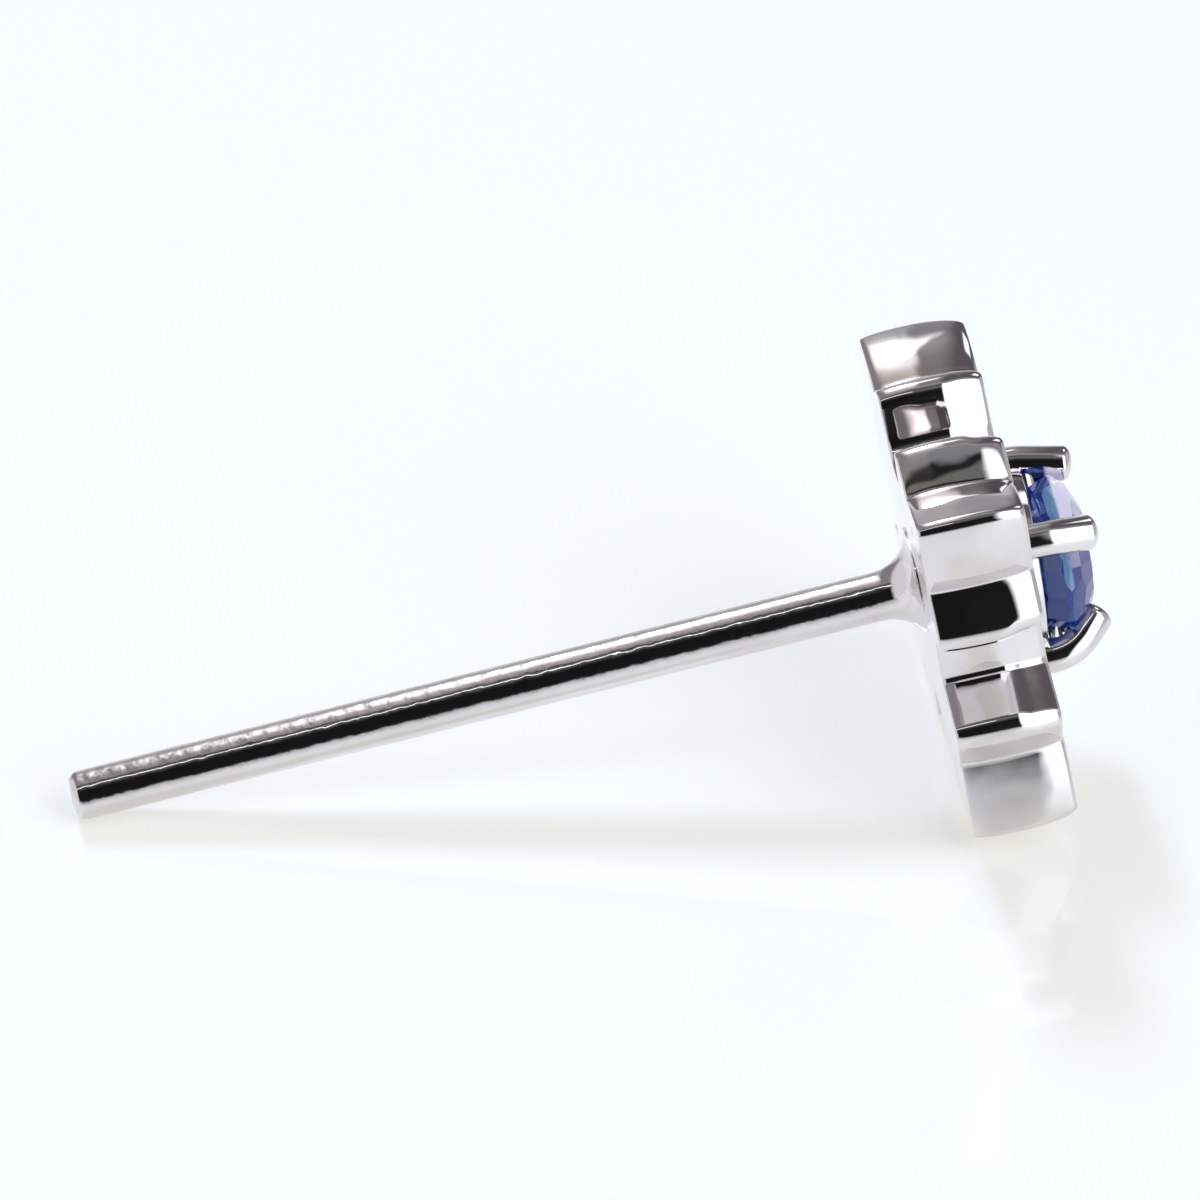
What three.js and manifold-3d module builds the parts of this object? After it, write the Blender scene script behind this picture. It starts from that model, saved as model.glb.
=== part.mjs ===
// A flower stud earring at its real size: a four-petal head of polished white metal, a claw
// setting with a round brilliant-cut blue stone, and a straight ear post soldered to the back.
// The stud lies as it rests on a table: on two petals and on the tip of its post.
import * as THREE from 'three';
import { mergeVertices } from 'three/addons/utils/BufferGeometryUtils.js';
import Module from 'manifold-3d';

const wasm = await Module();
wasm.setup();

// Driving dimensions in mm. Each piece is drawn on the stud's own axis: +Z is the way that the
// stone faces, z = 0 is about the middle of the head, and X points up when the stud rests.
const head = { back: -0.85, front: 0.63, petals: 4, edgeInset: 0.14, edgeRound: 0.28, edgeSteps: 3 };
const tip = { out: 3.527, radius: 0.15, spread: 42, steps: 3 };
const notch = { out: 2.73, side: 0.7 };
const blade = { steps: 6 };
const shoulder = { out: 2.4, side: 1.21, radius: 0.25, steps: 7 };
const bay = { floor: 1.98, halfWidth: 0.27, splay: 0.51, stepAt: 0.17, stepDepth: 0.07 };
const collar = { topRadius: 1.2, baseRadius: 1.3, belowGirdle: 0.36, height: 0.5, sides: 32 };
const wire = { radius: 0.25, sides: 12, root: 0.3, steps: 7 };
// Each prong was bent by hand: the direction it stands in, in degrees from the top, and its
// root, bend and rounded end as distances from the axis and heights.
const prongs = [
  { at: -45, rootOut: 1.44, bendOut: 1.41, bendHeight: 0.89, tipOut: 1.29, tipHeight: 1.41 },
  { at: 45, rootOut: 1.37, bendOut: 1.3, bendHeight: 1.05, tipOut: 1.18, tipHeight: 1.44 },
  { at: 135, rootOut: 1.36, bendOut: 1.36, bendHeight: 1.06, tipOut: 1.03, tipHeight: 1.4 },
  { at: 225, rootOut: 1.38, bendOut: 1.35, bendHeight: 1.06, tipOut: 1.12, tipHeight: 1.42 },
];
const post = {
  radius: 0.35, length: 12.09, tipRound: 0.15, flareRadius: 0.85, flareLength: 0.56,
  sunk: 0.3, sides: 24, lean: 1.5, leanTowards: 146,
};
const stone = {
  radius: 1.125, girdle: 1.19, girdleThickness: 0.06, crown: 0.34, pavilion: 1.25, tilt: 3.6,
  tiltTowards: 146, clearance: 0.04, sides: 32,
};
const bezelSlope = 34.5;
const steepPavilion = { out: 0.985, depth: 0.33 };
const tableRadius = stone.radius - stone.crown / Math.tan(THREE.MathUtils.degToRad(bezelSlope));
// The stone's cuts: how many facets, how steep they are in degrees from the girdle's plane,
// where the first one lies, and the point of its own section that each one passes through.
const cuts = [
  { count: 8, slope: bezelSlope, first: 0, out: stone.radius, height: 0.03 },
  {
    count: 8, slope: 22, first: 22.5,
    out: tableRadius * Math.cos(Math.PI / 8), height: 0.03 + stone.crown,
  },
  { count: 16, slope: 41, first: 11.25, out: stone.radius, height: 0.01 },
  { count: 16, slope: 115, first: 11.25, out: stone.radius, height: -0.03 },
  { count: 8, slope: 138, first: 0, out: steepPavilion.out, height: -steepPavilion.depth },
];

const metalFinish = new THREE.MeshStandardMaterial({
  color: 0xe9e8ec, metalness: 1, roughness: 0.06,
});
const stoneFinish = new THREE.MeshStandardMaterial({
  color: 0x3b5aa8, metalness: 0, roughness: 0.03,
});

const radians = (degrees) => THREE.MathUtils.degToRad(degrees);
const polar = (out, degrees, z = 0) =>
  new THREE.Vector3(out * Math.cos(radians(degrees)), out * Math.sin(radians(degrees)), z);

// A closed three.js geometry as a solid that can be joined and cut.
function solid(geometry) {
  const bare = geometry.clone();
  bare.deleteAttribute('normal');
  bare.deleteAttribute('uv');
  const merged = mergeVertices(bare, 1e-5);
  const corners = merged.index.array;
  const triangles = [];
  for (let i = 0; i < corners.length; i += 3) {
    const [a, b, c] = corners.slice(i, i + 3);
    if (a !== b && b !== c && c !== a) triangles.push(a, b, c);
  }
  return new wasm.Manifold(new wasm.Mesh({
    numProp: 3,
    vertProperties: new Float32Array(merged.attributes.position.array),
    triVerts: new Uint32Array(triangles),
  }));
}

function named(name, body, material) {
  const { vertProperties, triVerts } = body.getMesh();
  const geometry = new THREE.BufferGeometry();
  geometry.setAttribute('position', new THREE.BufferAttribute(new Float32Array(vertProperties), 3));
  geometry.setIndex(new THREE.BufferAttribute(new Uint32Array(triVerts), 1));
  geometry.computeVertexNormals();
  const mesh = new THREE.Mesh(geometry, material);
  mesh.name = name;
  return mesh;
}

// A body of revolution round Z from a profile of [radius, z] pairs that starts and ends on Z.
function turned(profile, sides) {
  const points = profile.map(([radius, z]) => new THREE.Vector2(radius, z));
  return new THREE.LatheGeometry(points, sides).rotateX(Math.PI / 2);
}

function arc(centre, radius, from, to, steps) {
  const points = [];
  for (let i = 0; i <= steps; i += 1) {
    const angle = from + ((to - from) * i) / steps;
    points.push(new THREE.Vector2(Math.cos(angle), Math.sin(angle)).multiplyScalar(radius).add(centre));
  }
  return points;
}

// The angle, from 0 to a full turn, at which a straight line from a point touches a circle.
function touchAngle(centre, radius, point, side) {
  const away = point.clone().sub(centre);
  const angle = away.angle() + side * Math.acos(radius / away.length());
  return THREE.MathUtils.euclideanModulo(angle, 2 * Math.PI);
}

// The curved edge of a petal's blade: it leaves the round tip smoothly and ends in the notch.
function bladeEdge(tipCentre, notchPoint) {
  const spread = radians(tip.spread);
  const outward = new THREE.Vector2(Math.cos(spread), Math.sin(spread));
  const start = tipCentre.clone().addScaledVector(outward, tip.radius);
  const chord = notchPoint.clone().sub(start);
  const radius = -chord.lengthSq() / (2 * chord.dot(outward));
  const centre = start.clone().addScaledVector(outward, -radius);
  const end = notchPoint.clone().sub(centre).angle();
  return arc(centre, radius, spread, end, blade.steps);
}

// One side of a petal that points along +X, from its tip to the floor of the bay beside it:
// the blade down to its notch, a straight flank out to the round shoulder, and the bay's wall.
function petalSide() {
  const tipCentre = new THREE.Vector2(tip.out, 0);
  const notchPoint = new THREE.Vector2(notch.out, notch.side);
  const shoulderCentre = new THREE.Vector2(shoulder.out, shoulder.side);
  const floorEnd = new THREE.Vector2(bay.floor, -bay.halfWidth)
    .rotateAround(new THREE.Vector2(), Math.PI / head.petals);
  const from = touchAngle(shoulderCentre, shoulder.radius, notchPoint, 1);
  const to = touchAngle(shoulderCentre, shoulder.radius, floorEnd, -1);
  return [
    ...arc(tipCentre, tip.radius, 0, radians(tip.spread), tip.steps),
    ...bladeEdge(tipCentre, notchPoint).slice(1),
    ...arc(shoulderCentre, shoulder.radius, from, to, shoulder.steps),
    floorEnd,
  ];
}

// The outline of the whole flower, anticlockwise, with a petal at 45 degrees and every 90 on.
function flowerOutline() {
  const side = petalSide();
  const mirrored = side.map((point) => new THREE.Vector2(point.x, -point.y)).reverse();
  const petal = [...mirrored, ...side.slice(1)];
  const outline = [];
  for (let i = 0; i < head.petals; i += 1) {
    const turn = (2 * Math.PI * (i + 0.5)) / head.petals;
    outline.push(...petal.map((point) => point.clone().rotateAround(new THREE.Vector2(), turn)));
  }
  return new THREE.Shape(outline);
}

// The plate of the head: the front edge rounded, the back edge left square, and each bay a
// little wider in front than behind.
function plate() {
  const rounded = new THREE.ExtrudeGeometry(flowerOutline(), {
    depth: head.front - head.back - head.edgeRound,
    bevelEnabled: true,
    bevelThickness: head.edgeRound,
    bevelSize: head.edgeInset,
    bevelOffset: -head.edgeInset,
    bevelSegments: head.edgeSteps,
  }).translate(0, 0, head.back);
  const size = 2 * (tip.out + tip.radius);
  const behind = new THREE.BoxGeometry(size, size, 1).translate(0, 0, head.back - 0.5);
  let body = solid(rounded).subtract(solid(behind));
  const reach = tip.out - bay.floor;
  const inner = bay.halfWidth + bay.stepDepth;
  const outer = inner + bay.splay * reach;
  const wider = new THREE.Shape([
    new THREE.Vector2(bay.floor - bay.stepDepth, -inner),
    new THREE.Vector2(bay.floor + reach, -outer),
    new THREE.Vector2(bay.floor + reach, outer),
    new THREE.Vector2(bay.floor - bay.stepDepth, inner),
  ]);
  for (let i = 0; i < head.petals; i += 1) {
    const step = new THREE.ExtrudeGeometry(wider, { depth: 1, bevelEnabled: false })
      .translate(0, 0, bay.stepAt)
      .rotateZ((2 * Math.PI * i) / head.petals);
    body = body.subtract(solid(step));
  }
  return body;
}

// The collar round the stone, on the stone's own axis.
function settingCollar() {
  return new THREE.CylinderGeometry(
    collar.topRadius, collar.baseRadius, collar.height, collar.sides,
  ).rotateX(Math.PI / 2).translate(0, 0, -collar.belowGirdle - collar.height / 2);
}

// A prong of round wire with a ball end: straight, one soft bend, and straight again.
function prong({ at, rootOut, bendOut, bendHeight, tipOut, tipHeight }) {
  const root = polar(rootOut, at, wire.root);
  const bend = polar(bendOut, at, bendHeight);
  const end = polar(tipOut, at, tipHeight);
  const before = bend.clone().lerp(root, 0.25);
  const after = bend.clone().lerp(end, 0.4);
  const route = new THREE.CurvePath();
  route.add(new THREE.LineCurve3(root, before));
  route.add(new THREE.QuadraticBezierCurve3(before, bend, after));
  route.add(new THREE.LineCurve3(after, end));
  const lastAngle = 2 * Math.PI * (1 - 1 / wire.sides);
  const section = new THREE.Shape(
    arc(new THREE.Vector2(), wire.radius, 0, lastAngle, wire.sides - 1),
  );
  const rod = new THREE.ExtrudeGeometry(section, { steps: wire.steps, extrudePath: route });
  const ball = new THREE.SphereGeometry(wire.radius, wire.sides, wire.sides / 2);
  return solid(rod).add(solid(ball.translate(end.x, end.y, end.z)));
}

// The ear post with its rounded tip and the flare of solder where it meets the head.
function earPost() {
  const tipCentre = new THREE.Vector2(post.radius - post.tipRound, post.tipRound - post.length);
  const tip = arc(tipCentre, post.tipRound, -Math.PI / 2, 0, 3);
  const flare = new THREE.EllipseCurve(
    post.flareRadius, -post.flareLength, post.flareRadius - post.radius, post.flareLength,
    Math.PI, Math.PI / 2, true,
  ).getPoints(5);
  const profile = [
    [0, -post.length],
    ...[...tip, ...flare].map((point) => [point.x, point.y]),
    [post.flareRadius, post.sunk],
    [0, post.sunk],
  ];
  const axis = polar(1, post.leanTowards - 90);
  return turned(profile, post.sides)
    .applyMatrix4(new THREE.Matrix4().makeRotationAxis(axis, radians(post.lean)))
    .translate(0, 0, head.back);
}

// The stone on its own axis with its girdle at z = 0, ground facet by facet from a blank.
function cutStone() {
  const top = stone.girdleThickness / 2 + stone.crown;
  const height = top + stone.pavilion;
  const blank = new THREE.CylinderGeometry(stone.radius, stone.radius, height, stone.sides)
    .rotateX(Math.PI / 2)
    .translate(0, 0, top - height / 2);
  let body = solid(blank);
  for (const { count, slope, first, out, height: level } of cuts) {
    for (let i = 0; i < count; i += 1) {
      const wheel = new THREE.BoxGeometry(6, 6, 3)
        .translate(0, 0, 1.5)
        .rotateY(radians(slope))
        .translate(out, 0, level)
        .rotateZ(radians(first + (360 * i) / count));
      body = body.subtract(solid(wheel));
    }
  }
  return body;
}

// The room that the stone takes in the setting, a little larger all round.
function stoneSeat() {
  const gap = stone.clearance;
  const half = stone.girdleThickness / 2;
  return turned([
    [0, -stone.pavilion - gap],
    [steepPavilion.out + gap, -steepPavilion.depth - gap / 2],
    [stone.radius + gap, -half - gap / 2],
    [stone.radius + gap, half + gap / 2],
    [tableRadius + gap, half + stone.crown + gap],
    [0, half + stone.crown + gap],
  ], stone.sides);
}

// From the stone's own axis to its place in the head, where it sits slightly crooked.
const seatPlace = new THREE.Matrix4()
  .makeRotationAxis(polar(1, stone.tiltTowards + 90), radians(stone.tilt))
  .setPosition(0, 0, stone.girdle);

let metal = plate().add(solid(settingCollar().applyMatrix4(seatPlace)));
for (const row of prongs) metal = metal.add(prong(row));
metal = metal.subtract(solid(stoneSeat().applyMatrix4(seatPlace)));
metal = metal.add(solid(earPost()));

const metalMesh = named('metal', metal, metalFinish);
const stoneMesh = named('stone', cutStone(), stoneFinish);
stoneMesh.applyMatrix4(seatPlace);

// At rest the shoulders of the two lower petals touch the table with their square back edges,
// and the post with its round tip, so the stud's axis rises towards the stone by this angle.
const petalDrop = (shoulder.out + shoulder.side) * Math.SQRT1_2 + shoulder.radius;
const lean = radians(post.lean);
const leanDrop = -Math.cos(radians(post.leanTowards));
const tipBall = new THREE.Vector2(
  (post.length - post.tipRound) * Math.cos(lean),
  petalDrop - (post.length - post.tipRound) * Math.sin(lean) * leanDrop
    - (post.radius - post.tipRound),
);
const restTilt = tipBall.angle() - Math.asin(post.tipRound / tipBall.length());

const stud = new THREE.Group();
stud.add(metalMesh, stoneMesh);
stud.rotation.set(0, Math.PI / 2 - restTilt, Math.PI);
stud.updateMatrixWorld(true);
const bounds = new THREE.Box3().setFromObject(stud, true);
const centre = bounds.getCenter(new THREE.Vector3());
stud.position.set(-centre.x, -centre.y, -bounds.min.z);

export default stud;
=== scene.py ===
# A flower stud earring of polished white metal with a round blue stone, lying on a table.
import math

import bmesh
import bpy
from mathutils import Matrix, Vector


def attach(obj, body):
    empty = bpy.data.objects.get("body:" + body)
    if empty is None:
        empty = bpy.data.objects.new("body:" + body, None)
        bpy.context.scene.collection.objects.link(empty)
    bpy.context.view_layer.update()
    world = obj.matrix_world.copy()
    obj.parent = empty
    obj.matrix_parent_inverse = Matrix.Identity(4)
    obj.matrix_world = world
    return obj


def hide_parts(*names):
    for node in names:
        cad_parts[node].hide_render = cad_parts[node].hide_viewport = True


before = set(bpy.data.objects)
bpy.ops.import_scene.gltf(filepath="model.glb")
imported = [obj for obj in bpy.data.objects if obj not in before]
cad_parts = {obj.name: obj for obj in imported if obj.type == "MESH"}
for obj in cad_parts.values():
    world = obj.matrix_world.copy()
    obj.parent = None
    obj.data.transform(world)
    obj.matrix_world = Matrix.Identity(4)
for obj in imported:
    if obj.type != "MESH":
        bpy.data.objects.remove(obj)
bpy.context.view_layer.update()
scene = bpy.context.scene
scene.view_settings.view_transform = "Standard"

mm = 0.001
weldDistance = 1e-4

# The stud is drawn upright on its own axis, in mm, and then laid down by this.
rest = {
    "tilt": 10.401774,      # degrees that the post's axis rises towards the stone
    "along": 5.465362,      # where the axis starts, in mm
    "height": 2.908613,
}


def restPlace():
    tilt = math.radians(rest["tilt"])
    turn = Matrix((
        (-math.sin(tilt), 0, math.cos(tilt)),
        (0, -1, 0),
        (math.cos(tilt), 0, math.sin(tilt)),
    )).to_4x4()
    lift = Matrix.Translation((rest["along"] * mm, 0, rest["height"] * mm))
    return lift @ turn @ Matrix.Scale(mm, 4)


# Camera

camera = {
    "place": (-10.00, -83.08, 56.63),
    "looks": (0.1025, 0.8352, -0.5403),
    "lens": 215.77,
    "sensor": 36,
    "clip": (0.001, 10),
}


def addCamera():
    data = bpy.data.cameras.new("camera")
    data.lens = camera["lens"]
    data.sensor_width = camera["sensor"]
    data.clip_start, data.clip_end = camera["clip"]
    eye = bpy.data.objects.new("camera", data)
    eye.location = Vector(camera["place"]) * mm
    eye.rotation_euler = Vector(camera["looks"]).to_track_quat("-Z", "Y").to_euler()
    scene.collection.objects.link(eye)
    scene.camera = eye


addCamera()
print("camera ready")


# Shader helpers

class Signal:
    # one socket that can be used in sums
    def __init__(self, board, socket):
        self.board = board
        self.socket = socket

    def joined(self, operation, first, second):
        return self.board.joined(operation, first, second)

    def __add__(self, other):
        return self.joined("ADD", self, other)

    def __radd__(self, other):
        return self.joined("ADD", other, self)

    def __sub__(self, other):
        return self.joined("SUBTRACT", self, other)

    def __rsub__(self, other):
        return self.joined("SUBTRACT", other, self)

    def __mul__(self, other):
        return self.joined("MULTIPLY", self, other)

    def __rmul__(self, other):
        return self.joined("MULTIPLY", other, self)

    def __truediv__(self, other):
        return self.joined("DIVIDE", self, other)

    def __rtruediv__(self, other):
        return self.joined("DIVIDE", other, self)

    def ramp(self, low, high):
        # 0 below low, 1 above high, smooth between
        return self.board.node(
            "ShaderNodeMapRange",
            {"interpolation_type": "SMOOTHSTEP"},
            {"Value": self, "From Min": low, "From Max": high},
        )


class Board:
    # the node tree of one finish
    def __init__(self, tree):
        self.tree = tree

    def node(self, kind, settings, values, output=0):
        made = self.tree.nodes.new(kind)
        for name, value in settings.items():
            if name == "stops":
                self.fillRamp(made.color_ramp, value)
            else:
                setattr(made, name, value)
        for name, value in values.items():
            if isinstance(value, Signal):
                self.tree.links.new(value.socket, made.inputs[name])
            else:
                made.inputs[name].default_value = value
        return Signal(self, made.outputs[output] if made.outputs else None)

    def joined(self, operation, first, second):
        return self.node("ShaderNodeMath", {"operation": operation}, {0: first, 1: second})

    def fillRamp(self, ramp, stops):
        while len(ramp.elements) < len(stops):
            ramp.elements.new(0.5)
        for element, (place, colour) in zip(ramp.elements, stops):
            element.position = place
            element.color = colour

    def blend(self, amount, first, second):
        # a mix of two colours
        return self.node(
            "ShaderNodeMix", {"data_type": "RGBA"}, {0: amount, 6: first, 7: second}, 2
        )

    def part(self, vector, axis):
        # how far a vector runs along an axis
        return self.node(
            "ShaderNodeVectorMath", {"operation": "DOT_PRODUCT"}, {0: vector, 1: axis}, "Value"
        )

    def speckle(self, place, scale, detail=2.0, rough=0.5):
        return self.node(
            "ShaderNodeTexNoise", {},
            {"Vector": place, "Scale": scale, "Detail": detail, "Roughness": rough},
        )


def newFinish(name):
    material = bpy.data.materials.new(name)
    material.use_nodes = True
    board = Board(material.node_tree)
    shader = material.node_tree.nodes["Principled BSDF"]
    return material, board, shader


def feed(board, shader, name, value):
    if isinstance(value, Signal):
        board.tree.links.new(value.socket, shader.inputs[name])
    else:
        shader.inputs[name].default_value = value


def grey(level):
    return (level, level, level, 1)


# Finishes

polish = {
    "colour": (0.75, 0.71, 0.72, 1),
    "dull": (0.70, 0.66, 0.66, 1),
    "roughness": 0.03,
    "haze": 0.04,
    "cloud": (900, 3),      # scale and detail of the dull patches
    "cloudRange": (0.35, 0.75),
    "wear": (5200, 4, 0.6),
    "wearRange": (0.5, 0.8),
    "waveDetail": 1.5,
    "plainWaves": (0.03, 1000),     # height in mm and scale of the waves left by polishing
    "drawnWaves": (0.009, 5200),
}


def whiteGold(name, waves):
    height, size = waves
    material, board, shader = newFinish(name)
    place = board.node("ShaderNodeTexCoord", {}, {}, "Object")
    cloud = board.speckle(place, *polish["cloud"]).ramp(*polish["cloudRange"])
    wear = board.speckle(place, *polish["wear"]).ramp(*polish["wearRange"])
    ripple = board.speckle(place, size, polish["waveDetail"])
    feed(board, shader, "Base Color", board.blend(cloud, polish["colour"], polish["dull"]))
    feed(board, shader, "Metallic", 1.0)
    feed(board, shader, "Roughness", polish["roughness"] + wear * polish["haze"])
    bump = board.node(
        "ShaderNodeBump", {}, {"Strength": 1.0, "Distance": height * mm, "Height": ripple}
    )
    feed(board, shader, "Normal", bump)
    return material


def carried(bm, vertices, place):
    bmesh.ops.transform(bm, matrix=place, verts=vertices)


def finished(name, bm, material, smoothUnder=None):
    # closes a piece's mesh, lays it down in its place and gives it its finish
    bmesh.ops.remove_doubles(bm, verts=bm.verts, dist=weldDistance)
    bmesh.ops.recalc_face_normals(bm, faces=bm.faces)
    carried(bm, bm.verts, restPlace())
    mesh = bpy.data.meshes.new(name)
    bm.to_mesh(mesh)
    bm.free()
    if smoothUnder is not None:
        mesh.shade_smooth()
        mesh.set_sharp_from_angle(angle=math.radians(smoothUnder))
    mesh.materials.append(material)
    piece = bpy.data.objects.new(name, mesh)
    scene.collection.objects.link(piece)
    return piece


# The head: a flower of four petals, each a curved blade with a shoulder either side

head = {
    "back": -0.85,
    "front": 0.63,
    "middle": -0.2,         # the level at which the side is fullest
    "backSoft": 0.4,        # how soft the outline is at the back face, 1 at the front
    "bands": 12,            # rings from the middle to either face
    "petals": 4,
    "creaseRound": 0.03,
    "flankRadius": 4.0,
    # the next three differ below and above each petal
    "floorRound": (0.25, 0.07),
    "tipSpread": (42.0, 52.0),      # degrees of the tip's arc on either side
    "floorMore": (0.11, 0.03),      # what the bay's floor gains in width
    "stepFrom": 0.08,       # between these levels the bays get wider
    "stepTo": 0.26,
    "hold": 0.01,           # a rim that keeps the two faces flat up to their edge
    "tipSteps": 6,
    "bladeSteps": 14,
    "flankSteps": 6,
    "shoulderSteps": 14,
    "creaseSteps": 3,
    "floorSteps": 8,
    "smoothUnder": 30,
}

# One side of a petal that points along X: the tip's arc, the blade down to the crease,
# the gently curved flank, the round shoulder, and the bay between two petals.
fullSide = {
    "tipAt": 3.527,
    "tipRadius": 0.15,
    "crease": (2.73, 0.70),
    "shoulder": (2.37, 1.211),
    "shoulderRadius": 0.25,
    "floorAt": 1.98,
    "floorHalf": 0.27,
}
softSide = {                # the same at the rounded edge of the front face
    "tipAt": 3.40,
    "tipRadius": 0.10,
    "crease": (2.59, 0.58),
    "shoulder": (2.345, 1.18),
    "shoulderRadius": 0.13,
    "floorAt": 1.81,
    "floorHalf": 0.39,
}
widerBay = {"shoulder": (0.025, -0.05), "floorAt": -0.07, "floorHalf": 0.05}


def arcFrom(bm, vertex, centre, degrees, steps, axis=(0, 0, 1)):
    # carries a chain of edges on round a centre, and gives its new end
    made = bmesh.ops.spin(
        bm, geom=[vertex], cent=centre, axis=axis,
        angle=math.radians(degrees), steps=steps,
    )
    return made["geom_last"][0]


def lineTo(bm, vertex, place):
    made = bmesh.ops.extrude_vert_indiv(bm, verts=[vertex])["verts"][0]
    made.co = place
    return made


def rounded(bm, corner, offset, segments):
    bmesh.ops.bevel(
        bm, geom=[corner], offset=offset, affect="VERTICES",
        segments=segments, profile=0.5, material=-1,
    )


def touching(centre, radius, point, side):
    # where a straight line from a point touches a circle, as an angle in degrees
    away = point - centre
    return math.degrees(math.atan2(away.y, away.x) + side * math.acos(radius / away.length))


def around(degrees, radius=1.0, height=0.0):
    angle = math.radians(degrees)
    return Vector((radius * math.cos(angle), radius * math.sin(angle), height))


def between(first, second, share):
    if isinstance(first, tuple):
        return tuple(between(one, two, share) for one, two in zip(first, second))
    return first + (second - first) * share


def sideAt(soft, wider):
    # the outline's measures at one level
    side = {name: between(fullSide[name], softSide[name], soft) for name in fullSide}
    for name, value in widerBay.items():
        if isinstance(value, tuple):
            side[name] = tuple(old + wider * more for old, more in zip(side[name], value))
        else:
            side[name] += wider * value
    return side


def flankCentre(side, crease, shoulder):
    # the middle of the wide arc that runs from the crease smoothly into the shoulder
    wide = head["flankRadius"]
    inner = wide - side["shoulderRadius"]
    gap = shoulder - crease
    along = (wide ** 2 - inner ** 2 + gap.length_squared) / (2 * gap.length)
    beside = math.sqrt(wide ** 2 - along ** 2)
    ahead = gap.normalized()
    return crease + ahead * along + Vector((-ahead.y, ahead.x, 0)) * beside


def heading(vector):
    return math.degrees(math.atan2(vector.y, vector.x))


half = math.pi / head["petals"]     # from the middle of a petal to the middle of a bay


def turned(angle):
    return Matrix.Rotation(angle, 3, "Z")


def petalSide(bm, side, hand):
    # hand: 0 for the side below a petal, 1 for the side above it
    spread = head["tipSpread"][hand]
    tip = Vector((side["tipAt"], 0, 0))
    crease = Vector((*side["crease"], 0))
    shoulder = Vector((*side["shoulder"], 0))
    toBay = turned(half)
    floorHalf = side["floorHalf"] + head["floorMore"][hand]
    floorEnd = toBay @ Vector((side["floorAt"], -floorHalf, 0))
    floorMiddle = toBay @ Vector((side["floorAt"], 0, 0))
    end = bm.verts.new(tip + around(0, side["tipRadius"]))
    end = arcFrom(bm, end, tip, spread, head["tipSteps"])
    outward = (end.co - tip).normalized()
    chord = crease - end.co
    reach = -chord.length_squared / (2 * chord.dot(outward))
    centre = end.co - outward * reach
    sweep = heading(crease - centre) - spread
    notch = arcFrom(bm, end, centre, sweep, head["bladeSteps"])
    hub = flankCentre(side, crease, shoulder)
    start = heading(shoulder - hub)
    end = arcFrom(bm, notch, hub, start - heading(crease - hub), head["flankSteps"])
    finish = touching(shoulder, side["shoulderRadius"], floorEnd, -1) % 360
    end = arcFrom(bm, end, shoulder, finish - start, head["shoulderSteps"])
    corner = lineTo(bm, end, floorEnd)
    lineTo(bm, corner, floorMiddle)
    rounded(bm, notch, head["creaseRound"], head["creaseSteps"])
    rounded(bm, corner, head["floorRound"][hand], head["floorSteps"])


def flowerRing(bm, height, side):
    # the whole outline at one level, as a closed ring of edges
    ring = bmesh.new()
    petalSide(ring, side, 1)
    bmesh.ops.scale(ring, verts=ring.verts, vec=(1, -1, 1))
    petalSide(ring, side, 0)
    bmesh.ops.rotate(ring, verts=ring.verts, cent=(0, 0, 0), matrix=turned(half))
    quarter = ring.verts[:] + ring.edges[:]
    for petal in range(1, head["petals"]):
        copy = bmesh.ops.duplicate(ring, geom=quarter)["geom"]
        corners = [part for part in copy if isinstance(part, bmesh.types.BMVert)]
        bmesh.ops.rotate(ring, verts=corners, cent=(0, 0, 0), matrix=turned(petal * 2 * half))
    bmesh.ops.remove_doubles(ring, verts=ring.verts, dist=weldDistance)
    bmesh.ops.translate(ring, verts=ring.verts, vec=(0, 0, height))
    spare = bpy.data.meshes.new("spare")
    ring.to_mesh(spare)
    ring.free()
    known = set(bm.edges)
    bm.from_mesh(spare)
    bpy.data.meshes.remove(spare)
    return [edge for edge in bm.edges if edge not in known]


def levels():
    # heights from the back face to the front, with how soft the outline is there
    made = []
    for band in range(head["bands"], 0, -1):
        angle = math.pi / 2 * band / head["bands"]
        drop = (head["middle"] - head["back"]) * math.sin(angle)
        made.append((head["middle"] - drop, head["backSoft"] * (1 - math.cos(angle))))
    made.append((head["middle"], 0.0))
    for band in range(1, head["bands"] + 1):
        angle = math.pi / 2 * band / head["bands"]
        lift = (head["front"] - head["middle"]) * math.sin(angle)
        made.append((head["middle"] + lift, 1 - math.cos(angle)))
    return made


def flowerHead(material):
    bm = bmesh.new()
    rings = []
    for height, soft in levels():
        wider = (height - head["stepFrom"]) / (head["stepTo"] - head["stepFrom"])
        wider = min(max(wider, 0), 1)
        rings.append(flowerRing(bm, height, sideAt(soft, wider ** 2 * (3 - 2 * wider))))
    for lower, upper in zip(rings, rings[1:]):
        bmesh.ops.bridge_loops(bm, edges=lower + upper)
    for ring in (rings[0], rings[-1]):
        made = bmesh.ops.contextual_create(bm, geom=ring)["faces"]
        bmesh.ops.inset_region(
            bm, faces=made, thickness=head["hold"], use_even_offset=True, use_boundary=True,
        )
    print("head", len(bm.verts), "corners")
    return finished("flowerHead", bm, material, head["smoothUnder"])


def cutAway(piece, cutter):
    # takes one solid from another for good
    cut = piece.modifiers.new("cut", "BOOLEAN")
    cut.operation = "DIFFERENCE"
    cut.solver = "EXACT"
    cut.object = cutter
    graph = bpy.context.evaluated_depsgraph_get()
    mesh = bpy.data.meshes.new_from_object(piece.evaluated_get(graph))
    piece.modifiers.clear()
    piece.data = mesh
    bpy.data.objects.remove(cutter)


# The collar under the stone, and where both sit

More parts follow.
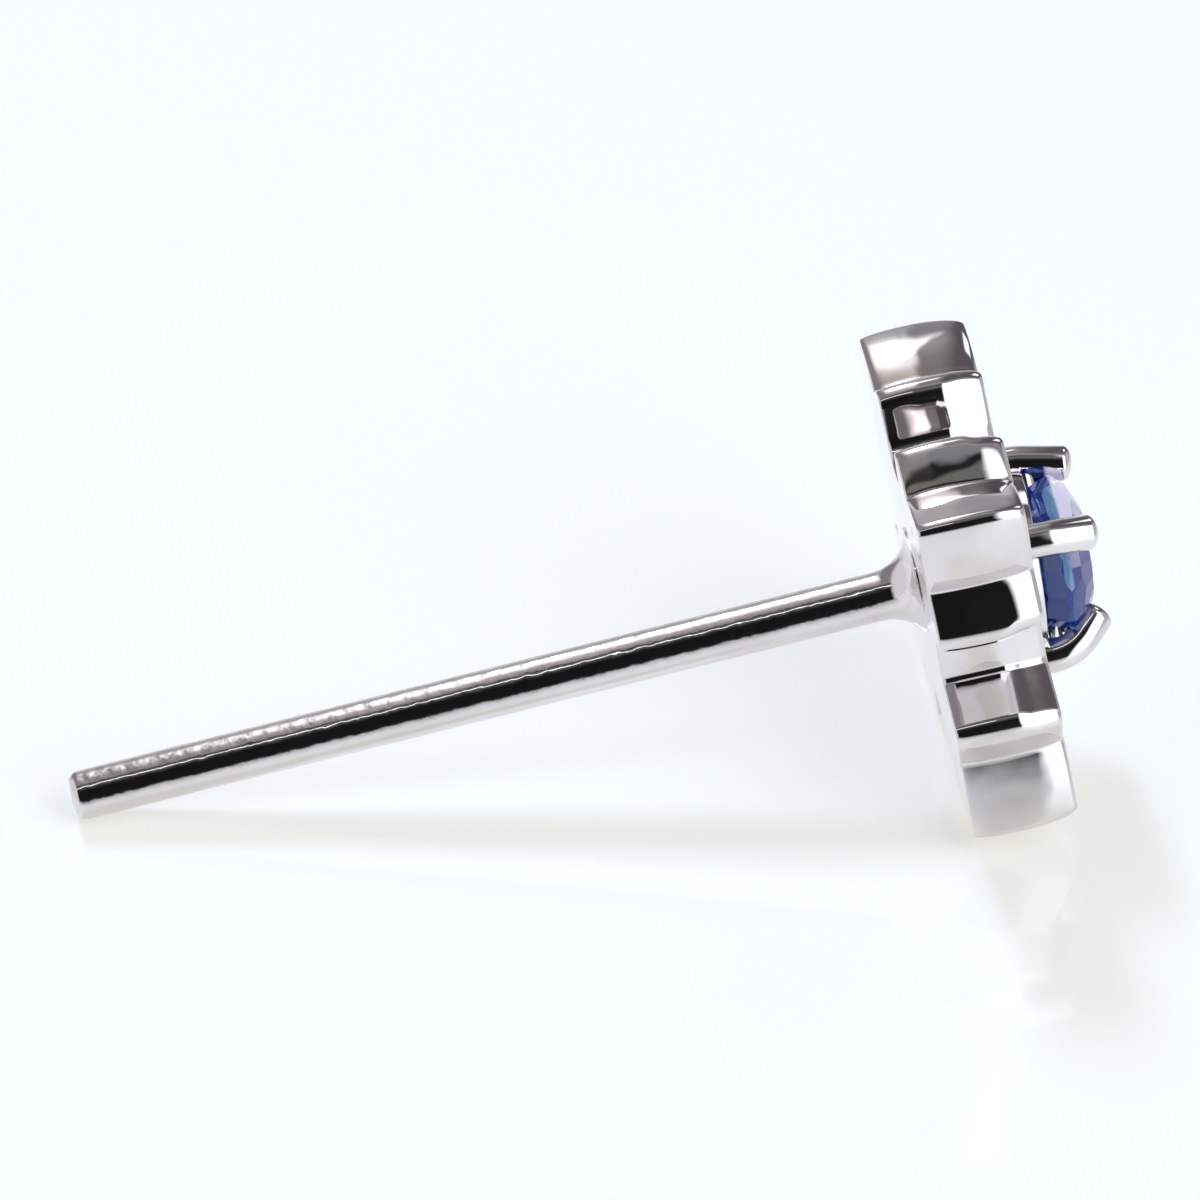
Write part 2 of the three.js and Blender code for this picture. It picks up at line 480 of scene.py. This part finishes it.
seat = {
    "height": 1.19,         # of the girdle
    "tilt": 3.6,
    "towards": 146.0,
}
collar = {
    "topRadius": 1.2,
    "baseRadius": 1.3,
    "belowGirdle": 0.36,
    "height": 0.5,
    "innerTop": 1.03,
    "innerBase": 0.5,
    "rimRound": 0.03,
    "rimSteps": 3,
    "steps": 96,
    "smoothUnder": 28,
}


def seatPlace():
    axis = around(seat["towards"] + 90)
    lift = Matrix.Translation((0, 0, seat["height"]))
    return lift @ Matrix.Rotation(math.radians(seat["tilt"]), 4, axis)


def stoneCollar(material):
    bm = bmesh.new()
    top = -collar["belowGirdle"]
    base = top - collar["height"]
    first = bm.verts.new((collar["innerBase"], 0, base))
    end = lineTo(bm, first, (collar["baseRadius"], 0, base))
    outer = lineTo(bm, end, (collar["topRadius"], 0, top))
    inner = lineTo(bm, outer, (collar["innerTop"], 0, top))
    bm.edges.new((inner, first))
    bmesh.ops.bevel(
        bm, geom=[outer, inner], offset=collar["rimRound"], affect="VERTICES",
        segments=collar["rimSteps"], profile=0.5, material=-1,
    )
    bmesh.ops.spin(
        bm, geom=bm.verts[:] + bm.edges[:], cent=(0, 0, 0), axis=(0, 0, 1),
        angle=math.tau, steps=collar["steps"], use_merge=True,
    )
    carried(bm, bm.verts, seatPlace())
    return finished("stoneCollar", bm, material, collar["smoothUnder"])


# Four claws of bent wire

claw = {
    "radius": 0.25,
    "sides": 28,
    "sunk": 0.3,
    "bendRadius": 0.7,
    "bendSteps": 10,
    "capSteps": 6,
    "cap": 0.14,            # how far the rounded end stands out
    "reach": 0.11,          # how far the wire itself runs past the tip's centre
    "flat": 0.45,           # share of the wire's width left flat at the tip
    "bearing": 0.17,        # radius of the ledge that the stone sits on
    "bearingFrom": 0.97,
    "bearingHeight": 0.95,
    "bearingSides": 20,
    "smoothUnder": 35,
}
claws = [
    {"at": -45, "root": 1.44, "bend": (1.41, 0.89), "tip": (1.29, 1.41)},
    {"at": 45, "root": 1.37, "bend": (1.30, 1.05), "tip": (1.18, 1.44)},
    {"at": 135, "root": 1.36, "bend": (1.36, 1.06), "tip": (1.03, 1.40)},
    {"at": 225, "root": 1.38, "bend": (1.35, 1.06), "tip": (1.12, 1.42)},
]


def drawOn(bm, edges, place):
    # pulls an open ring of edges out into a new ring
    made = bmesh.ops.extrude_edge_only(bm, edges=edges)["geom"]
    corners = [part for part in made if isinstance(part, bmesh.types.BMVert)]
    carried(bm, corners, place)
    drawn = [part for part in made if isinstance(part, bmesh.types.BMEdge)]
    return [edge for edge in drawn if all(corner in corners for corner in edge.verts)]


def leaning(start, end):
    # how far a stretch leans in from upright, in radians
    return math.atan2(end[0] - start[0], end[1] - start[1])


def bentClaw(name, spot, material):
    bm = bmesh.new()
    bmesh.ops.create_circle(bm, segments=claw["sides"], radius=claw["radius"], cap_ends=True)
    low = (spot["root"], head["front"] - claw["sunk"])
    first = leaning(low, spot["bend"])
    second = leaning(spot["bend"], spot["tip"])
    turn = second - first
    reach = abs(claw["bendRadius"] * math.tan(turn / 2))
    lower = math.dist(low, spot["bend"]) - reach
    upper = math.dist(spot["bend"], spot["tip"]) - reach + claw["reach"]
    carried(bm, bm.verts, Matrix.Translation((low[0], 0, low[1])) @ Matrix.Rotation(first, 4, "Y"))
    edges = bm.edges[:]
    angle = first
    place = Vector((low[0], 0, low[1]))

    def forward(edges, place, length, scale=1.0):
        # straight on, with a ring of another width at the end
        ahead = Vector((math.sin(angle), 0, math.cos(angle))) * length
        middle = place + ahead
        move = (
            Matrix.Translation(middle) @ Matrix.Scale(scale, 4)
            @ Matrix.Translation(-middle) @ Matrix.Translation(ahead)
        )
        return drawOn(bm, edges, move), middle

    edges, place = forward(edges, place, lower)
    step = turn / claw["bendSteps"]
    for _ in range(claw["bendSteps"]):
        angle += step / 2
        chord = 2 * claw["bendRadius"] * math.sin(abs(step) / 2)
        ahead = Vector((math.sin(angle), 0, math.cos(angle))) * chord
        angle += step / 2
        middle = place + ahead
        swing = Matrix.Rotation(step, 4, "Y")
        edges = drawOn(
            bm, edges, Matrix.Translation(middle) @ swing @ Matrix.Translation(-place),
        )
        place = middle
    edges, place = forward(edges, place, upper)
    was = 0.0
    wide = 1.0
    for count in range(1, claw["capSteps"] + 1):
        sweep = math.acos(claw["flat"]) * count / claw["capSteps"]
        now = claw["cap"] * math.sin(sweep)
        edges, place = forward(edges, place, now - was, math.cos(sweep) / wide)
        was = now
        wide = math.cos(sweep)
    bmesh.ops.contextual_create(bm, geom=edges)
    length = spot["root"] - claw["bearingFrom"]
    centre = (spot["root"] - length / 2, 0, claw["bearingHeight"])
    bmesh.ops.create_cone(
        bm, segments=claw["bearingSides"], cap_ends=True,
        radius1=claw["bearing"], radius2=claw["bearing"], depth=length,
        matrix=Matrix.Translation(centre) @ Matrix.Rotation(math.pi / 2, 4, "Y"),
    )
    carried(bm, bm.verts, Matrix.Rotation(math.radians(spot["at"]), 4, "Z"))
    return finished(name, bm, material, claw["smoothUnder"])


# The post

post = {
    "radius": 0.35,
    "length": 12.09,
    "tipRound": 0.15,
    "flareOut": 0.5,
    "flareLength": 0.56,
    "sunk": 0.3,
    "lean": 1.5,
    "leanAxis": 56.0,
    "steps": 64,
    "tipSteps": 8,
    "flareSteps": 12,
    "smoothUnder": 35,
}


def earPost(material):
    bm = bmesh.new()
    low = -post["length"]
    start = bm.verts.new((0, 0, low))
    end = lineTo(bm, start, (post["radius"] - post["tipRound"], 0, low))
    turn = (post["radius"] - post["tipRound"], 0, low + post["tipRound"])
    end = arcFrom(bm, end, turn, -90, post["tipSteps"], axis=(0, 1, 0))
    end = lineTo(bm, end, (post["radius"], 0, -post["flareLength"]))
    known = set(bm.verts)
    out = post["flareOut"]
    hub = (post["radius"] + out, 0, -post["flareLength"])
    arcFrom(bm, end, hub, 90, post["flareSteps"], axis=(0, 1, 0))
    flare = [corner for corner in bm.verts if corner not in known]
    for corner in flare:
        rise = corner.co.z + post["flareLength"]
        corner.co.z = -post["flareLength"] + rise * post["flareLength"] / out
    end = max(flare, key=lambda corner: corner.co.x)
    end = lineTo(bm, end, (end.co.x, 0, post["sunk"]))
    lineTo(bm, end, (0, 0, post["sunk"]))
    bmesh.ops.spin(
        bm, geom=bm.verts[:] + bm.edges[:], cent=(0, 0, 0), axis=(0, 0, 1),
        angle=math.tau, steps=post["steps"], use_merge=True,
    )
    lean = Matrix.Rotation(math.radians(post["lean"]), 4, around(post["leanAxis"]))
    carried(bm, bm.verts, Matrix.Translation((0, 0, head["back"])) @ lean)
    return finished("earPost", bm, material, post["smoothUnder"])


# The stone: a round brilliant

stone = {
    "radius": 1.125,
    "sides": 32,
    "girdle": 0.03,         # half its thickness
    "crown": 0.345,
    "steepOut": 0.985,
    "steepDepth": 0.33,
    "rough": 3.2,           # length of the rod that it is ground from
    "starsOut": 0.85,       # share of the radius
    "starsHeight": 0.205,
}


def stoneCuts():
    radius = stone["radius"]
    girdle = stone["girdle"]
    return [
        {"count": 16, "slope": 50, "first": 11.25, "out": radius, "height": 0.01},
        {"count": 8, "slope": 43, "first": 0, "out": radius, "height": girdle},
        {
            "count": 16, "slope": 27, "first": 11.25,
            "out": stone["starsOut"] * radius, "height": stone["starsHeight"],
        },
        {"count": 16, "slope": 115, "first": 11.25, "out": radius, "height": -girdle},
        {
            "count": 8, "slope": 138, "first": 0,
            "out": stone["steepOut"], "height": -stone["steepDepth"],
        },
    ]


def facet(bm, point, facing):
    # grinds one flat face
    made = bmesh.ops.bisect_plane(
        bm, geom=bm.verts[:] + bm.edges[:] + bm.faces[:], dist=1e-6,
        plane_co=point, plane_no=facing, clear_outer=True,
    )
    edges = [part for part in made["geom_cut"] if isinstance(part, bmesh.types.BMEdge)]
    if len(edges) > 2:
        bmesh.ops.contextual_create(bm, geom=edges)


def blueStone(material):
    bm = bmesh.new()
    bmesh.ops.create_cone(
        bm, segments=stone["sides"], cap_ends=True,
        radius1=stone["radius"], radius2=stone["radius"], depth=stone["rough"],
    )
    facet(bm, Vector((0, 0, stone["girdle"] + stone["crown"])), Vector((0, 0, 1)))
    for cut in stoneCuts():
        slope = math.radians(cut["slope"])
        for index in range(cut["count"]):
            side = cut["first"] + 360 / cut["count"] * index
            facing = around(side, math.sin(slope), math.cos(slope))
            facet(bm, around(side, cut["out"], cut["height"]), facing)
    carried(bm, bm.verts, seatPlace())
    bmesh.ops.recalc_face_normals(bm, faces=bm.faces)
    bm.normal_update()
    facing = bm.faces.layers.float.new("facing")    # how far up each facet faces, which the finish uses to paint sky reflection and shade on the crown
    for face in bm.faces:
        face[facing] = face.normal.x
    return finished("blueStone", bm, material)


hole = {
    "sides": 48,
    "point": 0.02,
    "radius": 1.2,
    "depth": 1.08,
    "below": 1.30,          # how far its point lies below the girdle
}


def seatHole():
    # what the stone's lower part takes out of the head
    bm = bmesh.new()
    bmesh.ops.create_cone(
        bm, segments=hole["sides"], cap_ends=True,
        radius1=hole["point"], radius2=hole["radius"], depth=hole["depth"],
    )
    bmesh.ops.translate(bm, verts=bm.verts, vec=(0, 0, hole["depth"] / 2 - hole["below"]))
    carried(bm, bm.verts, seatPlace())
    return finished("seatHole", bm, None)


# Light and table

# Degrees up from the back horizon, over the top and down to the front, and the light there:
# straight above and behind the stud, and beside that, towards the stone.
skyBands = [
    (0, (0.88, 0.88, 0.92)), (6, (0.76, 0.76, 0.80)), (14, (0.50, 0.50, 0.52)),
    (24, (0.46, 0.46, 0.48)), (34, (0.62, 0.62, 0.64)),
    (42, (1.20, 1.20, 1.20)), (68, (1.20, 1.18, 1.15)), (74, (0.80, 0.77, 0.74)),
    (79, (0.60, 0.55, 0.53)), (86, (0.50, 0.45, 0.43)), (92, (0.35, 0.35, 0.355)),
    (98, (0.265, 0.27, 0.265)), (100, (0.04, 0.04, 0.035)), (102, (0.04, 0.04, 0.035)),
    (104, (0.20, 0.21, 0.18)), (112, (0.18, 0.18, 0.16)), (118, (0.09, 0.09, 0.09)),
    (124, (0.03, 0.03, 0.03)), (132, (0.010, 0.010, 0.011)), (172, (0.012, 0.012, 0.012)),
    (180, (0.04, 0.04, 0.04)),
]
besideBands = [
    (0, (0.88, 0.88, 0.92)), (6, (0.76, 0.76, 0.80)), (12, (0.42, 0.42, 0.44)),
    (22, (0.34, 0.34, 0.36)), (38, (0.30, 0.29, 0.31)),
    (52, (0.42, 0.41, 0.42)), (66, (0.28, 0.27, 0.28)), (78, (0.26, 0.23, 0.23)),
    (85, (0.44, 0.39, 0.38)), (90, (0.28, 0.29, 0.31)), (97, (0.25, 0.26, 0.27)),
    (99, (0.02, 0.02, 0.02)), (101.5, (0.02, 0.02, 0.02)), (103.5, (0.18, 0.19, 0.17)),
    (112, (0.17, 0.17, 0.15)), (118, (0.09, 0.09, 0.09)), (124, (0.03, 0.03, 0.03)),
    (132, (0.010, 0.010, 0.011)), (180, (0.02, 0.02, 0.02)),
]
studio = {
    "softbox": (1.9, 1.95, 2.0, 1),
    "lamp": (24, 29, 43, 1),
    "dim": (0.13, 0.12, 0.13, 1),
    "dusk": (0.28, 0.27, 0.28, 1),
    "white": (1.7, 1.85, 1.9, 1),
    "lilac": (0.85, 0.84, 0.88, 1),
    "front": (0.55, 0.54, 0.57, 1),
    "strength": 5.0,
}
# Where each light lies: up in degrees as in the bands, across as a share towards the stone.
# A pair is the start and end of a soft edge, a triple is two edges and how soft they are.
lights = {
    "besideShift": ((88, 92), 0.06),
    "beside": (0.045, 0.085),
    "dimAcross": (0.16, 0.34),
    "dimUp": (76, 90),
    "duskAcross": (-0.22, -0.10),
    "duskUp": (94, 99),
    "boxUp": (45, 66, 7),
    "boxAcross": (-0.18, -0.03),
    "boxSlant": (57, 0.008),
    "boxEnd": (0.04, 0.11),
    "lampUp": (44, 57, 2),
    "lampAcross": (-0.08, 0.03, 0.02),
    "streakUp": (109.5, 112, 0.3),
    "streakEnd": (0.035, 0.045),
    "sideAcross": (0.26, 0.38),
    "sideUp": (92, 98),
    "patchAcross": (0.46, 0.66, 0.04),
    "patchUp": (33, 58, 4),
    "frontAcross": (0.76, 0.86),
    "backAcross": (-0.7, -0.5),
    "horizon": (-0.01, 0.0),
}


def scaled(colour):
    return tuple(part / studio["strength"] for part in colour[:3]) + (1,)


def skyRamp(board, up, bands):
    stops = [(degrees / 180, scaled(colour)) for degrees, colour in bands]
    return board.node("ShaderNodeValToRGB", {"stops": stops}, {"Fac": up / 180})


def within(signal, low, high, soft):
    # 1 between two values, 0 outside, with edges that are this soft
    return signal.ramp(low - soft, low + soft) * (1 - signal.ramp(high - soft, high + soft))


def studioSky():
    world = bpy.data.worlds.new("studio")
    scene.world = world
    world.use_nodes = True
    board = Board(world.node_tree)
    direction = board.node("ShaderNodeTexCoord", {}, {}, "Generated")
    tilt = math.radians(rest["tilt"])
    level = board.part(direction, (0, 0, 1))
    across = board.part(direction, (math.cos(tilt), 0, math.sin(tilt)))
    height = board.part(direction, (-math.sin(tilt), 0, math.cos(tilt)))
    towards = board.part(direction, (0, -1, 0))
    up = 90 + board.joined("ARCTAN2", towards, height) * (180 / math.pi)
    shiftEdges, shift = lights["besideShift"]
    beside = (across + up.ramp(*shiftEdges) * shift).ramp(*lights["beside"])
    lit = board.blend(beside, skyRamp(board, up, skyBands), skyRamp(board, up, besideBands))

    slantFrom, slant = lights["boxSlant"]
    slanted = across + (up - slantFrom) * slant
    dim = across.ramp(*lights["dimAcross"]) * (1 - up.ramp(*lights["dimUp"]))
    lit = board.blend(dim, lit, scaled(studio["dim"]))
    dusk = (1 - across.ramp(*lights["duskAcross"])) * (1 - up.ramp(*lights["duskUp"]))
    lit = board.blend(dusk, lit, scaled(studio["dusk"]))
    box = within(up, *lights["boxUp"]) * across.ramp(*lights["boxAcross"])
    lit = board.blend(box * (1 - slanted.ramp(*lights["boxEnd"])), lit, scaled(studio["softbox"]))
    lamp = within(up, *lights["lampUp"]) * within(across, *lights["lampAcross"])
    lit = board.blend(lamp, lit, scaled(studio["lamp"]))
    streak = within(up, *lights["streakUp"]) * (1 - across.ramp(*lights["streakEnd"]))
    lit = board.blend(streak, lit, scaled(studio["softbox"]))
    side = across.ramp(*lights["sideAcross"]) * up.ramp(*lights["sideUp"])
    lit = board.blend(side, lit, scaled(studio["white"]))
    patch = within(across, *lights["patchAcross"]) * within(up, *lights["patchUp"])
    lit = board.blend(patch, lit, scaled(studio["white"]))
    lit = board.blend(across.ramp(*lights["frontAcross"]), lit, scaled(studio["front"]))
    lit = board.blend(1 - across.ramp(*lights["backAcross"]), lit, scaled(studio["lilac"]))
    lit = board.blend(1 - level.ramp(*lights["horizon"]), lit, scaled(studio["lilac"]))
    background = world.node_tree.nodes["Background"]
    feed(board, background, "Color", lit)
    background.inputs["Strength"].default_value = studio["strength"]


table = {
    "size": 0.6,
    "colour": (0.80, 0.82, 0.84, 1),
    "cloudy": (0.78, 0.80, 0.82, 1),
    "glow": (0.440, 0.432, 0.372, 1),
    "roughness": 0.05,
    "haze": 0.02,
    "cloud": (40, 3),
    "cloudRange": (0.3, 0.7),
    "squares": 4,
    "gloss": 1.5,
}


def paleTable():
    bm = bmesh.new()
    squares = table["squares"]
    bmesh.ops.create_grid(bm, x_segments=squares, y_segments=squares, size=table["size"])
    material, board, shader = newFinish("paleTable")
    place = board.node("ShaderNodeTexCoord", {}, {}, "Object")
    cloud = board.speckle(place, *table["cloud"]).ramp(*table["cloudRange"])
    feed(board, shader, "Base Color", board.blend(cloud, table["colour"], table["cloudy"]))
    feed(board, shader, "Roughness", table["roughness"] + cloud * table["haze"])
    gloss = board.node("ShaderNodeFresnel", {}, {"IOR": table["gloss"]})
    feed(board, shader, "Emission Color", board.blend(gloss, table["glow"], grey(0)))
    shader.inputs["Emission Strength"].default_value = 1.0
    mesh = bpy.data.meshes.new("paleTable")
    bm.to_mesh(mesh)
    bm.free()
    mesh.materials.append(material)
    piece = bpy.data.objects.new("paleTable", mesh)
    scene.collection.objects.link(piece)


gem = {
    "deep": (0.010, 0.075, 0.48, 1),
    # pale blue for painted glints on the pavilion, in place of light reflected by its facets
    "paintedGlint": (0.34, 0.62, 1.0, 1),
    # The next two are the crown's colours: the stone's blue, dimmed as painted shade where facets
    # face down, and a pale lilac painted reflection of the bright sky where they face up.
    "crownLow": (0.085, 0.095, 0.42, 1),
    "crownPaintedSky": (0.86, 0.82, 1.0, 1),
    # a faint glow on crown facets that face up, painted reflection of the sky rather than a lamp
    "paintedSkyGlow": (0.30, 0.28, 0.36, 1),
    "crownFrom": 0.24,      # how far up a facet faces, from the darkest to the palest: painted shade where facets face down, painted sky reflection where they face up
    "crownTo": 0.50,
    "girdle": (7.11, 7.16),     # along the stud's axis, in mm, with its soft edge
    # size, turn and threshold of the cells that carry the painted glints
    "glintCells": (2600, 1800, 1100),
    "glintCellsTurn": (0.3, 0.2, 0),
    "glintCellsBright": (0.66, 0.78),
    # how much further up a facet must face before the painted glow begins
    "paintedGlowLater": 0.1,
    "cloud": (1500, 2),
    "cloudLift": 0.08,
    "cloudRange": (0.3, 0.8),
    "haze": 0.01,
    "refraction": 1.77,
    "clear": 0.45,
    "gloss": 0.3,
    "tint": (0.16, 0.30, 0.85, 1),
    "density": 260.0,
}


def sapphire():
    material, board, shader = newFinish("blueStone")
    place = board.node("ShaderNodeTexCoord", {}, {}, "Object")
    tilt = math.radians(rest["tilt"])
    height = board.part(place, (math.cos(tilt), 0, math.sin(tilt)))
    cloud = board.speckle(place, *gem["cloud"])
    # A few pale cells below the girdle are painted glints, in place of light reflected by the
    # pavilion's facets.
    stretched = board.node(
        "ShaderNodeMapping", {},
        {"Vector": place, "Scale": gem["glintCells"], "Rotation": gem["glintCellsTurn"]},
    )
    glintTones = board.node("ShaderNodeTexVoronoi", {}, {"Vector": stretched, "Scale": 1.0}, "Color")
    glintCells = board.part(glintTones, (1, 0, 0)).ramp(*gem["glintCellsBright"])
    below = board.blend(glintCells, gem["deep"], gem["paintedGlint"])
    # Crown facets that face up are painted pale lilac as a reflection of the bright sky; those
    # facing down stay dusky blue as painted shade.
    facing = board.node("ShaderNodeAttribute", {"attribute_name": "facing"}, {}, "Fac")
    lift = facing + cloud * gem["cloudLift"] - gem["cloudLift"] / 2
    paintedSkyShare = lift.ramp(gem["crownFrom"], gem["crownTo"])
    above = board.blend(paintedSkyShare, gem["crownLow"], gem["crownPaintedSky"])
    crown = (height / mm).ramp(*gem["girdle"])
    feed(board, shader, "Base Color", board.blend(crown, below, above))
    # The crown's upward facets also glow a little: painted reflection of the bright sky.
    paintedSkyGlow = crown * lift.ramp(gem["crownFrom"] + gem["paintedGlowLater"], gem["crownTo"])
    feed(board, shader, "Emission Color", board.blend(paintedSkyGlow, grey(0), gem["paintedSkyGlow"]))
    shader.inputs["Emission Strength"].default_value = 1.0
    feed(board, shader, "Roughness", cloud.ramp(*gem["cloudRange"]) * gem["haze"])
    shader.inputs["IOR"].default_value = gem["refraction"]
    shader.inputs["Specular IOR Level"].default_value = gem["gloss"]
    shader.inputs["Transmission Weight"].default_value = gem["clear"]
    depth = board.node(
        "ShaderNodeVolumeAbsorption", {}, {"Color": gem["tint"], "Density": gem["density"]}
    )
    end = material.node_tree.nodes["Material Output"]
    board.tree.links.new(depth.socket, end.inputs["Volume"])
    return material


paleTable()
studioSky()
print("table and light ready")

plain = whiteGold("whiteGold", polish["plainWaves"])
drawn = whiteGold("drawnWire", polish["drawnWaves"])
metalPieces = [flowerHead(plain), stoneCollar(plain)]
cutAway(metalPieces[0], seatHole())
for index, spot in enumerate(claws):
    metalPieces.append(bentClaw("claw" + str(index + 1), spot, plain))
metalPieces.append(earPost(drawn))
print("metal ready")
jewel = blueStone(sapphire())
print("stone ready")

for piece in metalPieces:
    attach(piece, "root")
    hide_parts("metal")
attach(jewel, "root")
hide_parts("stone")
